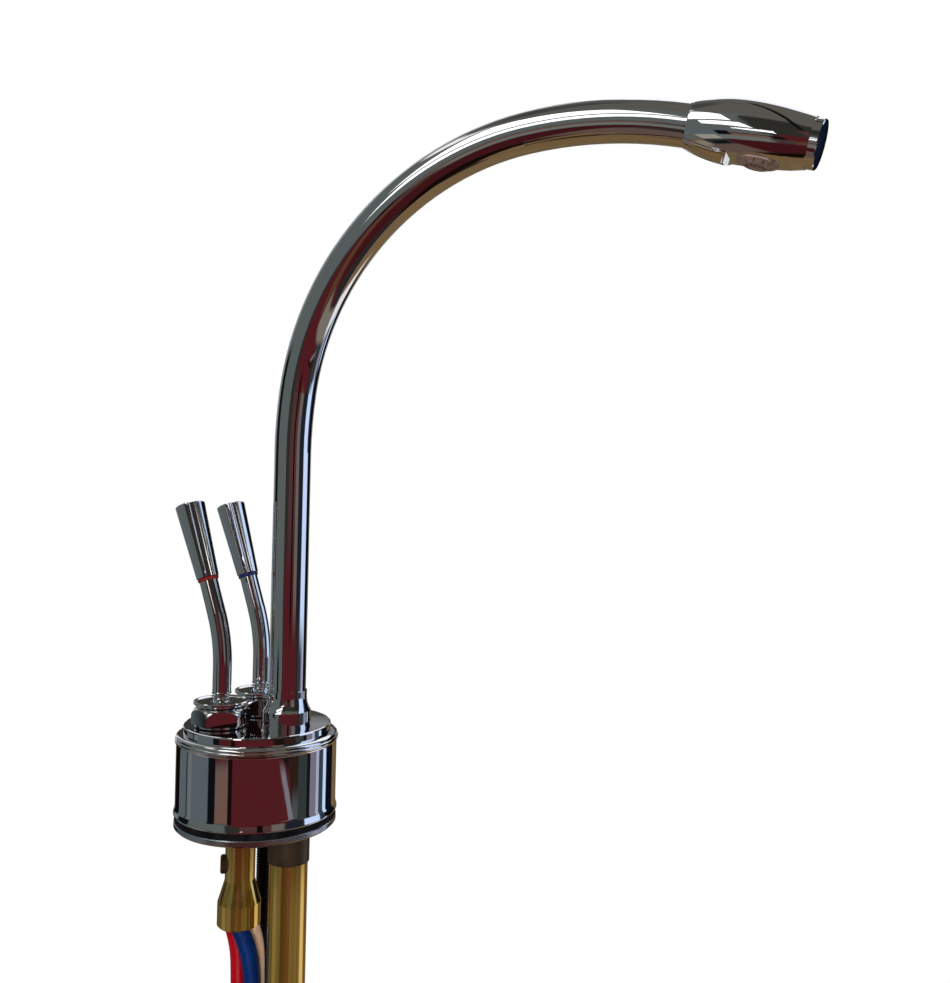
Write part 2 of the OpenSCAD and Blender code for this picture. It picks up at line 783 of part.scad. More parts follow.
module spout_bush() {
    color("goldenrod") spout_axis() difference() {
        translate([0, 0, bush_z]) cylinder(h = bush_top_z - bush_z, r = bush_r);
        translate([0, 0, bush_z - 1])
            cylinder(h = bush_top_z - bush_z + 2, r = tube_bore_r - 0.8);
        translate([0, 0, tube_z]) cylinder(h = bush_top_z - tube_z + 1, r = tube_r + fit_gap);
        for (z = oring_z) translate([0, 0, z - groove_w / 2]) difference() {
            cylinder(h = groove_w, r = bush_r + 1);
            translate([0, 0, -1])
                cylinder(h = groove_w + 2, r = bush_bore_r - spout_oring_d - 2 * fit_gap);
        }
    }
}

module spout_orings() {
    color("black") spout_axis() for (z = oring_z) translate([0, 0, z])
        rotate_extrude() translate([bush_bore_r - spout_oring_d / 2 - fit_gap, 0])
            circle(spout_oring_d / 2, $fn = 24);
}

// ---- Outlet head ----

module head_adaptor() {
    color("silver") at_head() difference() {
        union() {
            translate([0, 0, -adaptor_l]) cylinder(h = adaptor_l + eps, r = adaptor_tube_r);
            cylinder(h = collar_h, r = tube_r + 0.3);
            cylinder(h = adaptor_l + collar_h, r = adaptor_r);
        }
        translate([0, 0, -adaptor_l - 1]) cylinder(h = 2 * adaptor_l + collar_h + 2, r = adaptor_r - 1);
    }
}

module head_outline() {
    back_l = head_peak - collar_h;
    intersection() {
        translate([head_r - head_back_r, head_peak]) circle(head_back_r, $fn = 360);
        translate([0, collar_h]) square([head_r, back_l]);
    }
    intersection() {
        translate([head_r - head_front_r, head_peak]) circle(head_front_r, $fn = 360);
        translate([0, head_peak]) square([head_r, head_l - head_peak]);
    }
}

module head_body() {
    color("silver") difference() {
        at_head() difference() {
            rotate_extrude() head_outline();
            translate([0, 0, collar_h - 1]) cylinder(h = adaptor_l + 1, r = adaptor_r + fit_gap);
            translate([0, 0, collar_h]) cylinder(h = nozzle_at + 4, r = head_bore_r);
            translate([0, 0, head_l - end_plug_l - 0.2])
                cylinder(h = end_plug_l + 1, r = end_bore_r + fit_gap);
        }
        at_nozzle() {
            translate([0, 0, recess_at]) cylinder(h = head_r, r = recess_d / 2);
            translate([0, 0, nozzle_seat]) cylinder(h = head_r, r = nozzle_r + fit_gap);
            cylinder(h = head_r, r = nozzle_bore_r + 0.5);
        }
    }
}

module head_end_ring() {
    color("silver") at_head() difference() {
        rotate_extrude() polygon([
            [0, head_l - end_plug_l], [end_bore_r, head_l - end_plug_l], [end_bore_r, head_l],
            [end_ring_d / 2 - 0.5, head_l], [end_ring_d / 2 - 0.5, head_l + end_groove],
            [end_ring_d / 2, head_l + end_groove], [end_ring_d / 2, head_l + end_ring_h - 0.25],
            [end_ring_d / 2 - 0.25, head_l + end_ring_h], [0, head_l + end_ring_h]
        ]);
        translate([0, 0, head_l + end_ring_h - end_disc_h])
            cylinder(h = end_disc_h + 1, r = end_disc_d / 2 + fit_gap);
    }
}

module head_end_disc() {
    dome_radius = (pow(end_disc_d / 2, 2) + end_dome * end_dome) / 2 / end_dome;
    top = head_l + end_ring_h;
    color("midnightblue") at_head() intersection() {
        translate([0, 0, top - end_disc_h]) cylinder(h = end_disc_h + end_dome, r = end_disc_d / 2);
        translate([0, 0, top + end_dome - dome_radius]) sphere(dome_radius, $fn = 180);
    }
}

module nozzle() {
    top = nozzle_seat + nozzle_washer_h;
    mouth = recess_at + nozzle_out;
    color("rosybrown") at_nozzle() difference() {
        union() {
            translate([0, 0, top]) cylinder(h = recess_at - top + 0.3, r = nozzle_r);
            translate([0, 0, recess_at + fit_gap])
                cylinder(h = 0.5 - fit_gap, r = nozzle_flange_d / 2);
            translate([0, 0, recess_at + 0.5]) cylinder(
                h = nozzle_out - 0.5, r1 = nozzle_flange_d / 2 - 0.2, r2 = nozzle_mouth_d / 2
            );
        }
        translate([0, 0, top - 1]) cylinder(h = mouth - top + 2, r = nozzle_bore_r);
        for (k = [0 : notches - 1]) rotate([0, 0, 360 * k / notches])
            translate([nozzle_mouth_d / 2 - 0.1, -0.35, recess_at + 0.5]) cube([2, 0.7, 2]);
    }
}

module nozzle_screen() {
    pitch = 1.3;
    color("dimgray") at_nozzle() translate([0, 0, recess_at + 0.2]) difference() {
        cylinder(h = screen_h, r = nozzle_bore_r - fit_gap);
        translate([0, 0, -1]) cylinder(h = screen_h + 2, r = 0.35, $fn = 24);
        for (k = [0 : 5]) rotate([0, 0, 60 * k]) translate([pitch, 0, -1])
            cylinder(h = screen_h + 2, r = 0.35, $fn = 24);
    }
}

module nozzle_washer() {
    color("black") at_nozzle() translate([0, 0, nozzle_seat])
        ring(nozzle_r - 0.1, nozzle_bore_r + 0.6, nozzle_washer_h);
}

// ---- Below the deck ----

module tube_sleeve() {
    top = block_z + socket_depth;
    cone_z = -sleeve_neck - sleeve_cone;
    color("darkgoldenrod") difference() {
        translate([-sleeve_back, 0, 0]) rotate_extrude() polygon([
            [sleeve_r - 1, top], [sleeve_r, top], [sleeve_r, -sleeve_neck], [mouth_r, cone_z],
            [mouth_r, mouth_z + 0.6], [mouth_r - 0.6, mouth_z], [mouth_bore_r, mouth_z],
            [mouth_bore_r, cone_z + 1], [sleeve_r - 1, -sleeve_neck]
        ]);
        at_sleeve_screw() translate([0, 0, -3]) cylinder(h = 4, r = 1.5 + fit_gap, $fn = 32);
    }
}

// Frame on the side of the sleeve's neck, local Z pointing outwards
module at_sleeve_screw() {
    translate([-sleeve_back, 0, screw_z]) rotate([0, 0, screw_turn]) rotate([0, 90, 0])
        translate([0, 0, sleeve_r]) children();
}

module sleeve_screw() {
    // The underside of the head is hollowed to the sleeve's round
    color("saddlebrown") {
        at_sleeve_screw() translate([0, 0, -1]) cylinder(h = 1.5, r = 1.5, $fn = 32);
        difference() {
            at_sleeve_screw() rotate_extrude() polygon([
                [0, -1.2], [3.3, -1.2], [3.3, 1.1], [2.8, 1.6], [0, 1.6]
            ]);
            translate([-sleeve_back, 0, screw_z - 5])
                cylinder(h = 10, r = sleeve_r + fit_gap);
        }
    }
}

module sleeve_grommet() {
    color("black") translate([-sleeve_back, 0, mouth_z + mouth_recess])
        cylinder(h = grommet_h, r = mouth_bore_r - fit_gap);
}

module inlet_tail() {
    top = block_z + socket_depth;
    color("darkgoldenrod") translate([tail_x, 0, 0]) rotate_extrude() polygon([
        [tail_bore_r, top], [tail_d / 2, top], [tail_d / 2, tail_end_l - tail_l],
        [tail_end_d / 2 + 0.4, tail_end_l - tail_l - 0.4], [tail_end_d / 2, tail_end_l - tail_l - 0.4],
        [tail_end_d / 2, -tail_l], [tail_bore_r, -tail_l]
    ]);
}

module tail_collar() {
    color("saddlebrown") translate([tail_x, 0, -collar_l])
        ring(collar_d / 2, tail_d / 2 + fit_gap, collar_l + block_z);
}

module mounting_stud() {
    color("dimgray") translate([-stud_back, stud_side, -stud_l]) {
        cylinder(h = stud_l + block_z + stud_depth, r = stud_d / 2);
        translate([0, 0, -0.6]) cylinder(h = 0.6, r1 = stud_d / 2 - 0.6, r2 = stud_d / 2);
    }
}

// Round plate with a slot for tail and tubes, open towards +X, and a hole for the stud
module horseshoe(h) {
    difference() {
        translate([clamp_x, 0, 0]) cylinder(h = h, r = clamp_d / 2);
        translate([slot_from + slot_w / 2, 0, -1]) cylinder(h = h + 2, r = slot_w / 2);
        translate([slot_from + slot_w / 2, -slot_w / 2, -1]) cube([clamp_d, slot_w, h + 2]);
        translate([-stud_back, stud_side, -1]) cylinder(h = h + 2, r = stud_d / 2 + 0.2);
    }
}

module clamp_pad() {
    color("black") translate([0, 0, -clamp_at - pad_h]) horseshoe(pad_h);
}

module clamp_plate() {
    color("gainsboro") translate([0, 0, plate_z]) horseshoe(clamp_h);
}

module clamp_nut() {
    color("goldenrod") translate([-stud_back, stud_side, plate_z - nut_h]) difference() {
        hexagon(nut_af, nut_h);
        translate([0, 0, -1]) cylinder(h = nut_h + 2, r = stud_d / 2 + fit_gap);
    }
}

// ---- Tubes ----

module hose(turn) {
    route = [for (step = hose_route) hose_point(step, turn)];
    points = [for (i = [0 : len(route) - 1])
        each ring_points(route[i], heading_at(route, i), hose_d / 2, hose_sides)];
    translate([-sleeve_back, 0, mouth_z + mouth_recess])
        polyhedron(points, tube_faces(len(route), hose_sides));
}

module hot_tube() {
    color("crimson") hose(hot_turn);
}

module cold_tube() {
    color("navy") hose(cold_turn);
}

module vent_tube() {
    color("tan") hose(vent_turn);
}

base_ring();
base_gasket();
base_shell();
top_disc();
valve_block();
valve_seats();
bonnet(HOT);  // hot_bonnet
bonnet(COLD);  // cold_bonnet
cap(HOT);  // hot_cap
cap(COLD);  // cold_cap
bonnet_washers();
ball_seat(HOT);  // hot_ball_seat
ball_seat(COLD);  // cold_ball_seat
lever_pins();
stem(HOT);  // hot_stem
stem(COLD);  // cold_stem
mark(HOT);  // hot_mark
mark(COLD);  // cold_mark
grip(HOT);  // hot_grip
grip(COLD);  // cold_grip
plunger(HOT);  // hot_plunger
plunger(COLD);  // cold_plunger
spring(HOT);  // hot_spring
spring(COLD);  // cold_spring
seal(HOT);  // hot_seal
seal(COLD);  // cold_seal
rod_ring(HOT);  // hot_rod_ring
rod_ring(COLD);  // cold_rod_ring
spout_foot();
spout_tube();
spout_bush();
spout_orings();
head_adaptor();
head_body();
head_end_ring();
head_end_disc();
nozzle();
nozzle_screen();
nozzle_washer();
tube_sleeve();
sleeve_screw();
sleeve_grommet();
inlet_tail();
tail_collar();
mounting_stud();
clamp_pad();
clamp_plate();
clamp_nut();
hot_tube();
cold_tube();
vent_tube();
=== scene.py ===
import json
import math

import bmesh
import bpy
from mathutils import Matrix, Vector


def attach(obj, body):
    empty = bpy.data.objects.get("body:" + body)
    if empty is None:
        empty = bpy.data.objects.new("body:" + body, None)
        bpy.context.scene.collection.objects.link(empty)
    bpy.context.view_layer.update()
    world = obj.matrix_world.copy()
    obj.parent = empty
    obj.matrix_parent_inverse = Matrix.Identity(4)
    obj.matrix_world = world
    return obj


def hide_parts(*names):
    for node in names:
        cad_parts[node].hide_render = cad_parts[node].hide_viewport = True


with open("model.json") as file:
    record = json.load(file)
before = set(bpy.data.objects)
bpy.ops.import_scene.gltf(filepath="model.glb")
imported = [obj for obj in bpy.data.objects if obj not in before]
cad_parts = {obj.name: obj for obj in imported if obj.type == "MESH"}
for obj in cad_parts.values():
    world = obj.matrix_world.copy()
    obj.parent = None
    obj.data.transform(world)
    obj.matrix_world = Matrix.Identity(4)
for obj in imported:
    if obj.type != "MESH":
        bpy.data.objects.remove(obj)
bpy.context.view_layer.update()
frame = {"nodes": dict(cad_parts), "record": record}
nodes = frame["nodes"]
scene = bpy.context.scene
print("Frame loaded:", len(nodes), "CAD nodes")

mm = 0.001


# Camera: where the photograph was taken from

cameraSettings = {
    "place": (0.206277, -0.278815, 0.114249),
    "turn": 24.017,  # degrees, the picture's right away from +X
    "pitch": -0.617,
    "roll": 1.234,
    "focal": 954.57,  # in pixels of the photograph
    "frame": (950, 983),
    "sensor": 36.0,
}


def makeCamera(c):
    turn, pitch, roll = (math.radians(c[k]) for k in ("turn", "pitch", "roll"))
    rows = (
        Matrix.Rotation(roll, 3, "Y")
        @ Matrix.Rotation(pitch, 3, "X")
        @ Matrix.Rotation(-turn, 3, "Z")
    )
    right, ahead, up = rows[0], rows[1], rows[2]
    data = bpy.data.cameras.new("photoCamera")
    data.sensor_fit = "AUTO"
    data.sensor_width = c["sensor"]
    data.lens = c["focal"] * c["sensor"] / max(c["frame"])
    data.clip_start, data.clip_end = 0.01, 20
    camera = bpy.data.objects.new("photoCamera", data)
    turned = Matrix((right, up, -ahead)).transposed()
    camera.matrix_world = Matrix.Translation(c["place"]) @ turned.to_4x4()
    scene.collection.objects.link(camera)
    scene.camera = camera


makeCamera(cameraSettings)
scene.view_settings.view_transform = "Standard"
print("Camera made")


# Meshes


def addPiece(name, mesh, material, slotName, body, *replaced):
    piece = bpy.data.objects.new(name, mesh)
    scene.collection.objects.link(piece)
    mesh.materials.clear()
    mesh.materials.append(material)
    if replaced:
        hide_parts(*replaced)
    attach(piece, body)
    return piece


# Tubes that hang from the sleeve: the route of the part's source, twisted a little more

tubeBundle = {
    "axis": -6.3,  # the sleeve's place along X, in mm
    "exitDepth": 34.6,
    "ring": 3.5,  # distance of a tube from the bundle's axis
    "driftTurn": 12.0,
    "diameter": 6.0,
    "bore": 4.0,
    "boreDepth": 14.0,
    "cutRound": (0.25, 0.2),  # height and depth of the rounding at the cut end
    "boreRound": (0.2, 0.1),
    "sides": 32,
    "twist": [(0, 12), (4, 14), (20, 33), (60, 33), (120, 20), (200, 6), (280, 0)],
    "steps": [
        (0, 0.1, 1), (3, 0.7, 1), (6, 1.9, 1), (9, 2.9, 1), (12, 3.6, 1), (15, 4.0, 1),
        (18, 4.25, 1), (21, 4.4, 1), (24, 4.5, 1), (28, 4.5, 1), (33, 4.5, 1), (40, 4.5, 1),
        (52, 4.4, 1.05), (68, 4.1, 1.2), (86, 3.7, 1.5), (104, 3.3, 1.9), (122, 2.9, 2.3),
        (142, 2.5, 2.7), (162, 2.2, 3), (182, 2, 3.2), (204, 1.8, 3.3), (228, 1.7, 3.35),
        (254, 1.7, 3.35), (280, 1.7, 3.35),
    ],
}


def between(pairs, at):
    # Straight between the pairs' values
    for (a, low), (b, high) in zip(pairs, pairs[1:]):
        if at <= b:
            return low + (high - low) * (at - a) / (b - a)
    return pairs[-1][1]


def tubeRoute(b, turn):
    drift = math.radians(b["driftTurn"])
    points = []
    for depth, aside, spread in b["steps"]:
        angle = math.radians(turn + between(b["twist"], depth))
        points.append(Vector((
            b["axis"] + b["ring"] * spread * math.cos(angle) + aside * math.cos(drift),
            b["ring"] * spread * math.sin(angle) + aside * math.sin(drift),
            -b["exitDepth"] - depth,
        )) * mm)
    return points


def smoothRoute(points, parts=3):
    # Catmull-Rom through the route's points
    ends = [2 * points[0] - points[1]] + points + [2 * points[-1] - points[-2]]
    fine = []
    for i in range(1, len(ends) - 2):
        a, b, c, d = ends[i - 1 : i + 3]
        for k in range(parts):
            t = k / parts
            fine.append(0.5 * (
                2 * b + (c - a) * t + (2 * a - 5 * b + 4 * c - d) * t * t
                + (3 * b - a - 3 * c + d) * t * t * t
            ))
    fine.append(points[-1].copy())
    return fine


def makeTube(name, turn, material, slotName, node):
    b = tubeBundle
    route = smoothRoute(tubeRoute(b, turn))
    sides = b["sides"]
    outer, inner = b["diameter"] / 2 * mm, b["bore"] / 2 * mm
    # Rings down the outside, over the cut end, and a way up the bore
    rings = [(p, outer) for p in route]
    end, up = route[-1], Vector((0, 0, mm))
    rings[-1:] = [
        (end + up * b["cutRound"][0], outer),
        (end, outer - b["cutRound"][1] * mm),
        (end, inner + b["boreRound"][1] * mm),
        (end + up * b["boreRound"][0], inner),
        (end + up * b["boreDepth"], inner),
    ]
    rings.insert(0, (route[0], outer * 0.5))
    verts, faces = [], []
    for i, (centre, radius) in enumerate(rings):
        before = rings[max(i - 1, 0)][0]
        after = rings[min(i + 1, len(rings) - 1)][0]
        along = after - before
        along = along.normalized() if 1 < i < len(route) - 1 else Vector((0, 0, -1))
        across = along.cross(Vector((0, 1, 0))).normalized()
        aside = along.cross(across)
        for k in range(sides):
            angle = 2 * math.pi * k / sides
            verts.append(centre + radius * (
                across * math.cos(angle) + aside * math.sin(angle)))
    for i in range(len(rings) - 1):
        for k in range(sides):
            n = (k + 1) % sides
            faces.append((i * sides + k, (i + 1) * sides + k, (i + 1) * sides + n, i * sides + n))
    last = (len(rings) - 1) * sides
    faces.append(tuple(range(sides)))
    faces.append(tuple(last + k for k in reversed(range(sides))))
    mesh = bpy.data.meshes.new(name)
    mesh.from_pydata(verts, [], faces)
    turnOutwards(mesh)
    smoothShade(mesh, 40)
    piece = addPiece(name, mesh, material, slotName, "base", node)


def turnOutwards(mesh):
    work = bmesh.new()
    work.from_mesh(mesh)
    bmesh.ops.recalc_face_normals(work, faces=work.faces)
    work.to_mesh(mesh)
    work.free()


def smoothShade(mesh, angle):
    # Smooth faces, with edges sharper than the angle kept crisp
    mesh.shade_smooth()
    mesh.set_sharp_from_angle(angle=math.radians(angle))


def lathe(name, profile, sides=192, angle=32):
    # Closed ring swept from a closed outline of (radius, height) in mm
    verts, faces = [], []
    for k in range(sides):
        turn = 2 * math.pi * k / sides
        for radius, height in profile:
            verts.append((radius * math.cos(turn) * mm, radius * math.sin(turn) * mm, height * mm))
    count = len(profile)
    for k in range(sides):
        here, there = k * count, (k + 1) % sides * count
        for i in range(count):
            j = (i + 1) % count
            faces.append((here + i, there + i, there + j, here + j))
    mesh = bpy.data.meshes.new(name)
    mesh.from_pydata(verts, [], faces)
    turnOutwards(mesh)
    smoothShade(mesh, angle)
    return mesh


def arc(centre, radii, start, end, steps):
    # Part of an ellipse, as points of an outline
    points = []
    for i in range(steps + 1):
        turn = math.radians(start + (end - start) * i / steps)
        points.append((centre[0] + radii[0] * math.cos(turn),
                       centre[1] + radii[1] * math.sin(turn)))
    return points


def addMaths(tree, operation, *values):
    made = tree.nodes.new("ShaderNodeMath")
    made.operation = operation
    for i, value in enumerate(values):
        if hasattr(value, "node"):
            tree.links.new(value, made.inputs[i])
        else:
            made.inputs[i].default_value = value
    return made.outputs[0]


# Materials


class Tree:
    # Short hand for building a material's nodes
    def __init__(self, name):
        self.material = bpy.data.materials.new(name)
        self.material.use_nodes = True
        self.tree = self.material.node_tree
        self.shader = self.tree.nodes["Principled BSDF"]
        self.place = self.tree.nodes.new("ShaderNodeTexCoord").outputs["Object"]

    def set(self, **values):
        for name, value in values.items():
            self.shader.inputs[name.replace("_", " ")].default_value = value

    def link(self, source, target):
        self.tree.links.new(source, target)

    def mapped(self, scale):
        node = self.tree.nodes.new("ShaderNodeMapping")
        node.inputs["Scale"].default_value = scale
        self.link(self.place, node.inputs["Vector"])
        return node.outputs["Vector"]

    def noise(self, scale, detail=3.0, roughness=0.55, vector=None):
        node = self.tree.nodes.new("ShaderNodeTexNoise")
        node.inputs["Scale"].default_value = scale
        node.inputs["Detail"].default_value = detail
        node.inputs["Roughness"].default_value = roughness
        self.link(vector or self.place, node.inputs["Vector"])
        return node.outputs["Fac"]

    def spread(self, source, low, high, start=0.35, end=0.65):
        node = self.tree.nodes.new("ShaderNodeMapRange")
        node.inputs["From Min"].default_value = start
        node.inputs["From Max"].default_value = end
        node.inputs["To Min"].default_value = low
        node.inputs["To Max"].default_value = high
        self.link(source, node.inputs["Value"])
        return node.outputs["Result"]

    def ramp(self, source, *stops):
        node = self.tree.nodes.new("ShaderNodeValToRGB")
        band = node.color_ramp
        while len(band.elements) < len(stops):
            band.elements.new(0.5)
        for element, (place, colour) in zip(band.elements, stops):
            element.position = place
            element.color = (*colour, 1)
        self.link(source, node.inputs["Fac"])
        return node.outputs["Color"]

    def bump(self, height, distance, strength=1.0):
        node = self.tree.nodes.new("ShaderNodeBump")
        node.inputs["Strength"].default_value = strength
        node.inputs["Distance"].default_value = distance
        self.link(height, node.inputs["Height"])
        self.link(node.outputs["Normal"], self.shader.inputs["Normal"])

    def colour(self, source):
        self.link(source, self.shader.inputs["Base Color"])

    def rough(self, source):
        self.link(source, self.shader.inputs["Roughness"])


def chromePlate(name="chromePlate"):
    t = Tree(name)
    t.set(Metallic=1.0)
    haze = t.noise(45, 4)
    t.colour(t.ramp(haze, (0.3, (0.86, 0.87, 0.885)), (0.7, (0.9, 0.905, 0.91))))
    wipe = t.noise(900, 2, vector=t.mapped(scale=(1, 1, 0.15)))
    t.rough(t.spread(wipe, 0.018, 0.05))
    t.bump(t.noise(70, 1), 0.00004, 0.35)  # the slight swell of a polished casting
    return t.material


def satinRing():
    t = Tree("satinRing")
    t.set(Metallic=1.0)
    grain = t.noise(1600, 3, vector=t.mapped(scale=(1, 1, 6)))
    t.colour(t.ramp(grain, (0.3, (0.5, 0.56, 0.63)), (0.7, (0.66, 0.71, 0.78))))
    t.rough(t.spread(grain, 0.16, 0.3))
    t.bump(grain, 0.00002, 0.4)
    return t.material


def blackRubber():
    t = Tree("blackRubber")
    dust = t.noise(300, 4)
    t.colour(t.ramp(dust, (0.35, (0.001, 0.001, 0.0015)), (0.75, (0.006, 0.006, 0.007))))
    t.rough(t.spread(dust, 0.5, 0.75))
    t.set(Specular_IOR_Level=0.15)
    t.bump(t.noise(2500, 2), 0.00004, 0.5)
    return t.material


# Brass with fine lines along Z: partly real drawn grain, partly painted reflection streaks in its
# colour
def brassWithPaintedStreaks(name="brassWithPaintedStreaks", pale=(0.82, 0.56, 0.16), deep=(0.52, 0.33, 0.07)):
    t = Tree(name)
    t.set(Metallic=0.96)
    linesAndStreaks = t.noise(520, 3, vector=t.mapped(scale=(1, 1, 0.015)))  # drawn lines along Z, whose light and dark streaks are also painted reflection
    t.colour(t.ramp(linesAndStreaks, (0.36, deep), (0.62, pale)))
    t.rough(t.spread(linesAndStreaks, 0.06, 0.14))
    t.bump(linesAndStreaks, 0.00002, 0.3)
    return t.material


def glossPlastic(name, deep, pale, low=0.12, high=0.28, coat=0.4, gloss=0.5):
    t = Tree(name)
    t.set(Specular_IOR_Level=gloss)
    clouds = t.noise(120, 3)
    t.colour(t.ramp(clouds, (0.3, deep), (0.7, pale)))
    t.rough(t.spread(t.noise(700, 3), low, high))
    t.set(Coat_Weight=coat, Coat_Roughness=0.08)
    t.bump(t.noise(260, 2), 0.00005, 0.3)
    return t.material


def plainMetal(name, deep, pale, low, high, scale=600):
    t = Tree(name)
    t.set(Metallic=1.0)
    grain = t.noise(scale, 4)
    t.colour(t.ramp(grain, (0.3, deep), (0.7, pale)))
    t.rough(t.spread(grain, low, high))
    t.bump(grain, 0.00002, 0.4)
    return t.material


finishes = {
    "chrome": chromePlate(),
    "steel_ring": satinRing(),
    "rubber": blackRubber(),
    "brass": brassWithPaintedStreaks(),
    "seat_plastic": glossPlastic("seatPlastic", (0.7, 0.7, 0.66), (0.8, 0.8, 0.77), 0.4, 0.6, 0.0),
    "spring_steel": plainMetal("springSteel", (0.5, 0.5, 0.5), (0.62, 0.62, 0.62), 0.2, 0.35),
    "pin_steel": plainMetal("pinSteel", (0.5, 0.5, 0.5), (0.62, 0.62, 0.63), 0.12, 0.25),
    "red_plastic": glossPlastic("redPlastic", (0.09, 0.004, 0.003), (0.13, 0.007, 0.005)),
    "blue_plastic": glossPlastic("bluePlastic", (0.004, 0.012, 0.06), (0.008, 0.022, 0.095)),
    "end_disc": glossPlastic(
        "endDisc", (0.003, 0.005, 0.014), (0.006, 0.01, 0.026), 0.1, 0.2, 0.6),
    "nozzle_plastic": glossPlastic(
        "nozzlePlastic", (0.12, 0.07, 0.06), (0.2, 0.14, 0.12), 0.3, 0.5, 0.1),
    "dark_plastic": glossPlastic(
        "darkPlastic", (0.014, 0.008, 0.004), (0.026, 0.016, 0.009), 0.3, 0.45, 0.1),
    # Near-black steel: the screws' own dark colour, and on the stud partly painted shade
    "dark_steel": plainMetal("darkSteelAndShade", (0.04, 0.04, 0.04), (0.1, 0.09, 0.085), 0.3, 0.5),
    "zinc_steel": plainMetal("zincSteel", (0.5, 0.5, 0.48), (0.66, 0.66, 0.64), 0.25, 0.45, 200),
    "red_tube": glossPlastic(
        "redTube", (0.2, 0.0, 0.004), (0.25, 0.0, 0.006), 0.25, 0.4, 0.05, 0.2),
    "blue_tube": glossPlastic(
        "blueTube", (0.0, 0.009, 0.058), (0.0, 0.014, 0.078), 0.25, 0.4, 0.05, 0.2),
    "natural_tube": glossPlastic(
        "naturalTube", (0.78, 0.5, 0.31), (0.92, 0.61, 0.4), 0.25, 0.4, 0.05, 0.2),
}
print("Finishes made:", len(finishes))

for row in frame["record"]["subparts"]:
    node = nodes[row["node"]]
    for place in node.material_slots:
        place.material = finishes[row["material_slot"]]
print("CAD nodes finished")

# Shell of the base, with its rolled foot and lip

shellSizes = {
    "bottom": 4.6,  # in mm, as in the part's source
    "shoulder": 32.2,
    "wall": 25.8,  # radius inside
    "side": 27.6,  # radius outside
    "rim": 28.1,  # radius of foot and lip
    "web": 23.2,
    "webBottom": 28.8,
    "flareTop": 7.9,
    "flareSteps": 12,
    "footRound": 0.35,
    "ringAbove": 0.2,  # rings near the wall's ends, so that its shading stays straight
    "ringsBelow": (0.6, 0.4, 0.25),
    "bead": (29.15, 30.65),  # heights of the lip's bead
    "roll": (25.9, 30.9),  # centre of the shoulder's roll
}


def makeShell(c):
    bottom, side, rim = c["bottom"], c["side"], c["rim"]
    profile = [(c["wall"], bottom)]
    curl, steps = c["footRound"], c["flareSteps"]
    profile += arc((rim - curl, bottom + curl), (curl, curl), -90, 0, 6)
    low = bottom + 2 * curl
    for i in range(steps + 1):
        t = i / steps
        profile.append((side + (rim - side) * (1 - t) ** 2, low + (c["flareTop"] - low) * t))
    base, top = c["bead"]
    middle, half = (base + top) / 2, (top - base) / 2
    profile.append((side, c["flareTop"] + c["ringAbove"]))
    profile += [(side, base - below) for below in c["ringsBelow"]]
    profile += arc((side - 0.02, middle), (rim - side + 0.02, half), -80, 70, 14)
    centre = c["roll"]
    reach = side + 0.2 - centre[0]
    profile += arc(centre, (reach, c["shoulder"] - centre[1]), -4, 86, 14)
    profile += [(c["web"], c["shoulder"]), (c["web"], c["webBottom"]),
                (c["wall"], c["webBottom"] - c["wall"] + c["web"])]
    addPiece("shellRolled", lathe("shellRolled", profile), finishes["chrome"],
             "chrome", "base", "base_shell")


makeShell(shellSizes)
print("Shell made")

# Threaded stud: core and thread are made by Geometry Nodes

studSizes = {
    "axis": (-6.0, 14.0),  # in mm
    "bottom": -90.6,
    "top": 12.8,
    "diameter": 6.0,
    "pitch": 1.0,
    "depth": 0.62,
    "coreSides": 48,
    "turnSteps": 28,
    "ridgeSides": 4,
}


def threadTree(c, sizes, material):
    tree = bpy.data.node_groups.new("threadedRod", "GeometryNodeTree")
    face = tree.interface
    face.new_socket("Geometry", in_out="INPUT", socket_type="NodeSocketGeometry")
    sockets = {}
    for name, value in sizes.items():
        sockets[name] = face.new_socket(name, in_out="INPUT", socket_type="NodeSocketFloat")
        sockets[name].default_value = value
    face.new_socket("Geometry", in_out="OUTPUT", socket_type="NodeSocketGeometry")

    def node(kind, **links):
        made = tree.nodes.new(kind)
        for name, source in links.items():
            target = made.inputs[name.replace("_", " ")]
            if hasattr(source, "node"):
                tree.links.new(source, target)
            else:
                target.default_value = source
        return made

    def maths(*terms):
        return addMaths(tree, *terms)

    given = tree.nodes.new("NodeGroupInput").outputs
    radius, length, pitch, depth = (given[name] for name in sizes)
    # Core, with a turn's worth of room left at both ends of the thread
    root = maths("SUBTRACT", radius, depth)
    core = node("GeometryNodeMeshCylinder", Vertices=c["coreSides"], Radius=root, Depth=length)
    run = maths("SUBTRACT", length, maths("MULTIPLY", pitch, 2.0))
    path = node("GeometryNodeCurveSpiral", Resolution=c["turnSteps"],
                Rotations=maths("DIVIDE", run, pitch),
                Start_Radius=root, End_Radius=root, Height=run)
    lowered = node("GeometryNodeTransform", Geometry=path.outputs[0])
    shift = tree.nodes.new("ShaderNodeCombineXYZ")
    tree.links.new(maths("MULTIPLY", run, -0.5), shift.inputs["Z"])
    tree.links.new(shift.outputs[0], lowered.inputs["Translation"])
    upright = node("GeometryNodeSetCurveNormal", Curve=lowered.outputs[0])
    upright.mode = "Z_UP"
    # Ridge: a square outline on its corner, half sunk into the core
    outline = node("GeometryNodeCurvePrimitiveCircle", Resolution=c["ridgeSides"], Radius=depth)
    ridge = node("GeometryNodeCurveToMesh", Curve=upright.outputs[0],
                 Profile_Curve=outline.outputs[0], Fill_Caps=True)
    joined = tree.nodes.new("GeometryNodeJoinGeometry")
    tree.links.new(ridge.outputs[0], joined.inputs[0])
    tree.links.new(core.outputs["Mesh"], joined.inputs[0])
    real = node("GeometryNodeRealizeInstances", Geometry=joined.outputs[0])
    done = node("GeometryNodeSetMaterial", Geometry=real.outputs[0])
    done.inputs["Material"].default_value = material
    tree.links.new(done.outputs[0], tree.nodes.new("NodeGroupOutput").inputs[0])
    return tree, {name: socket.identifier for name, socket in sockets.items()}


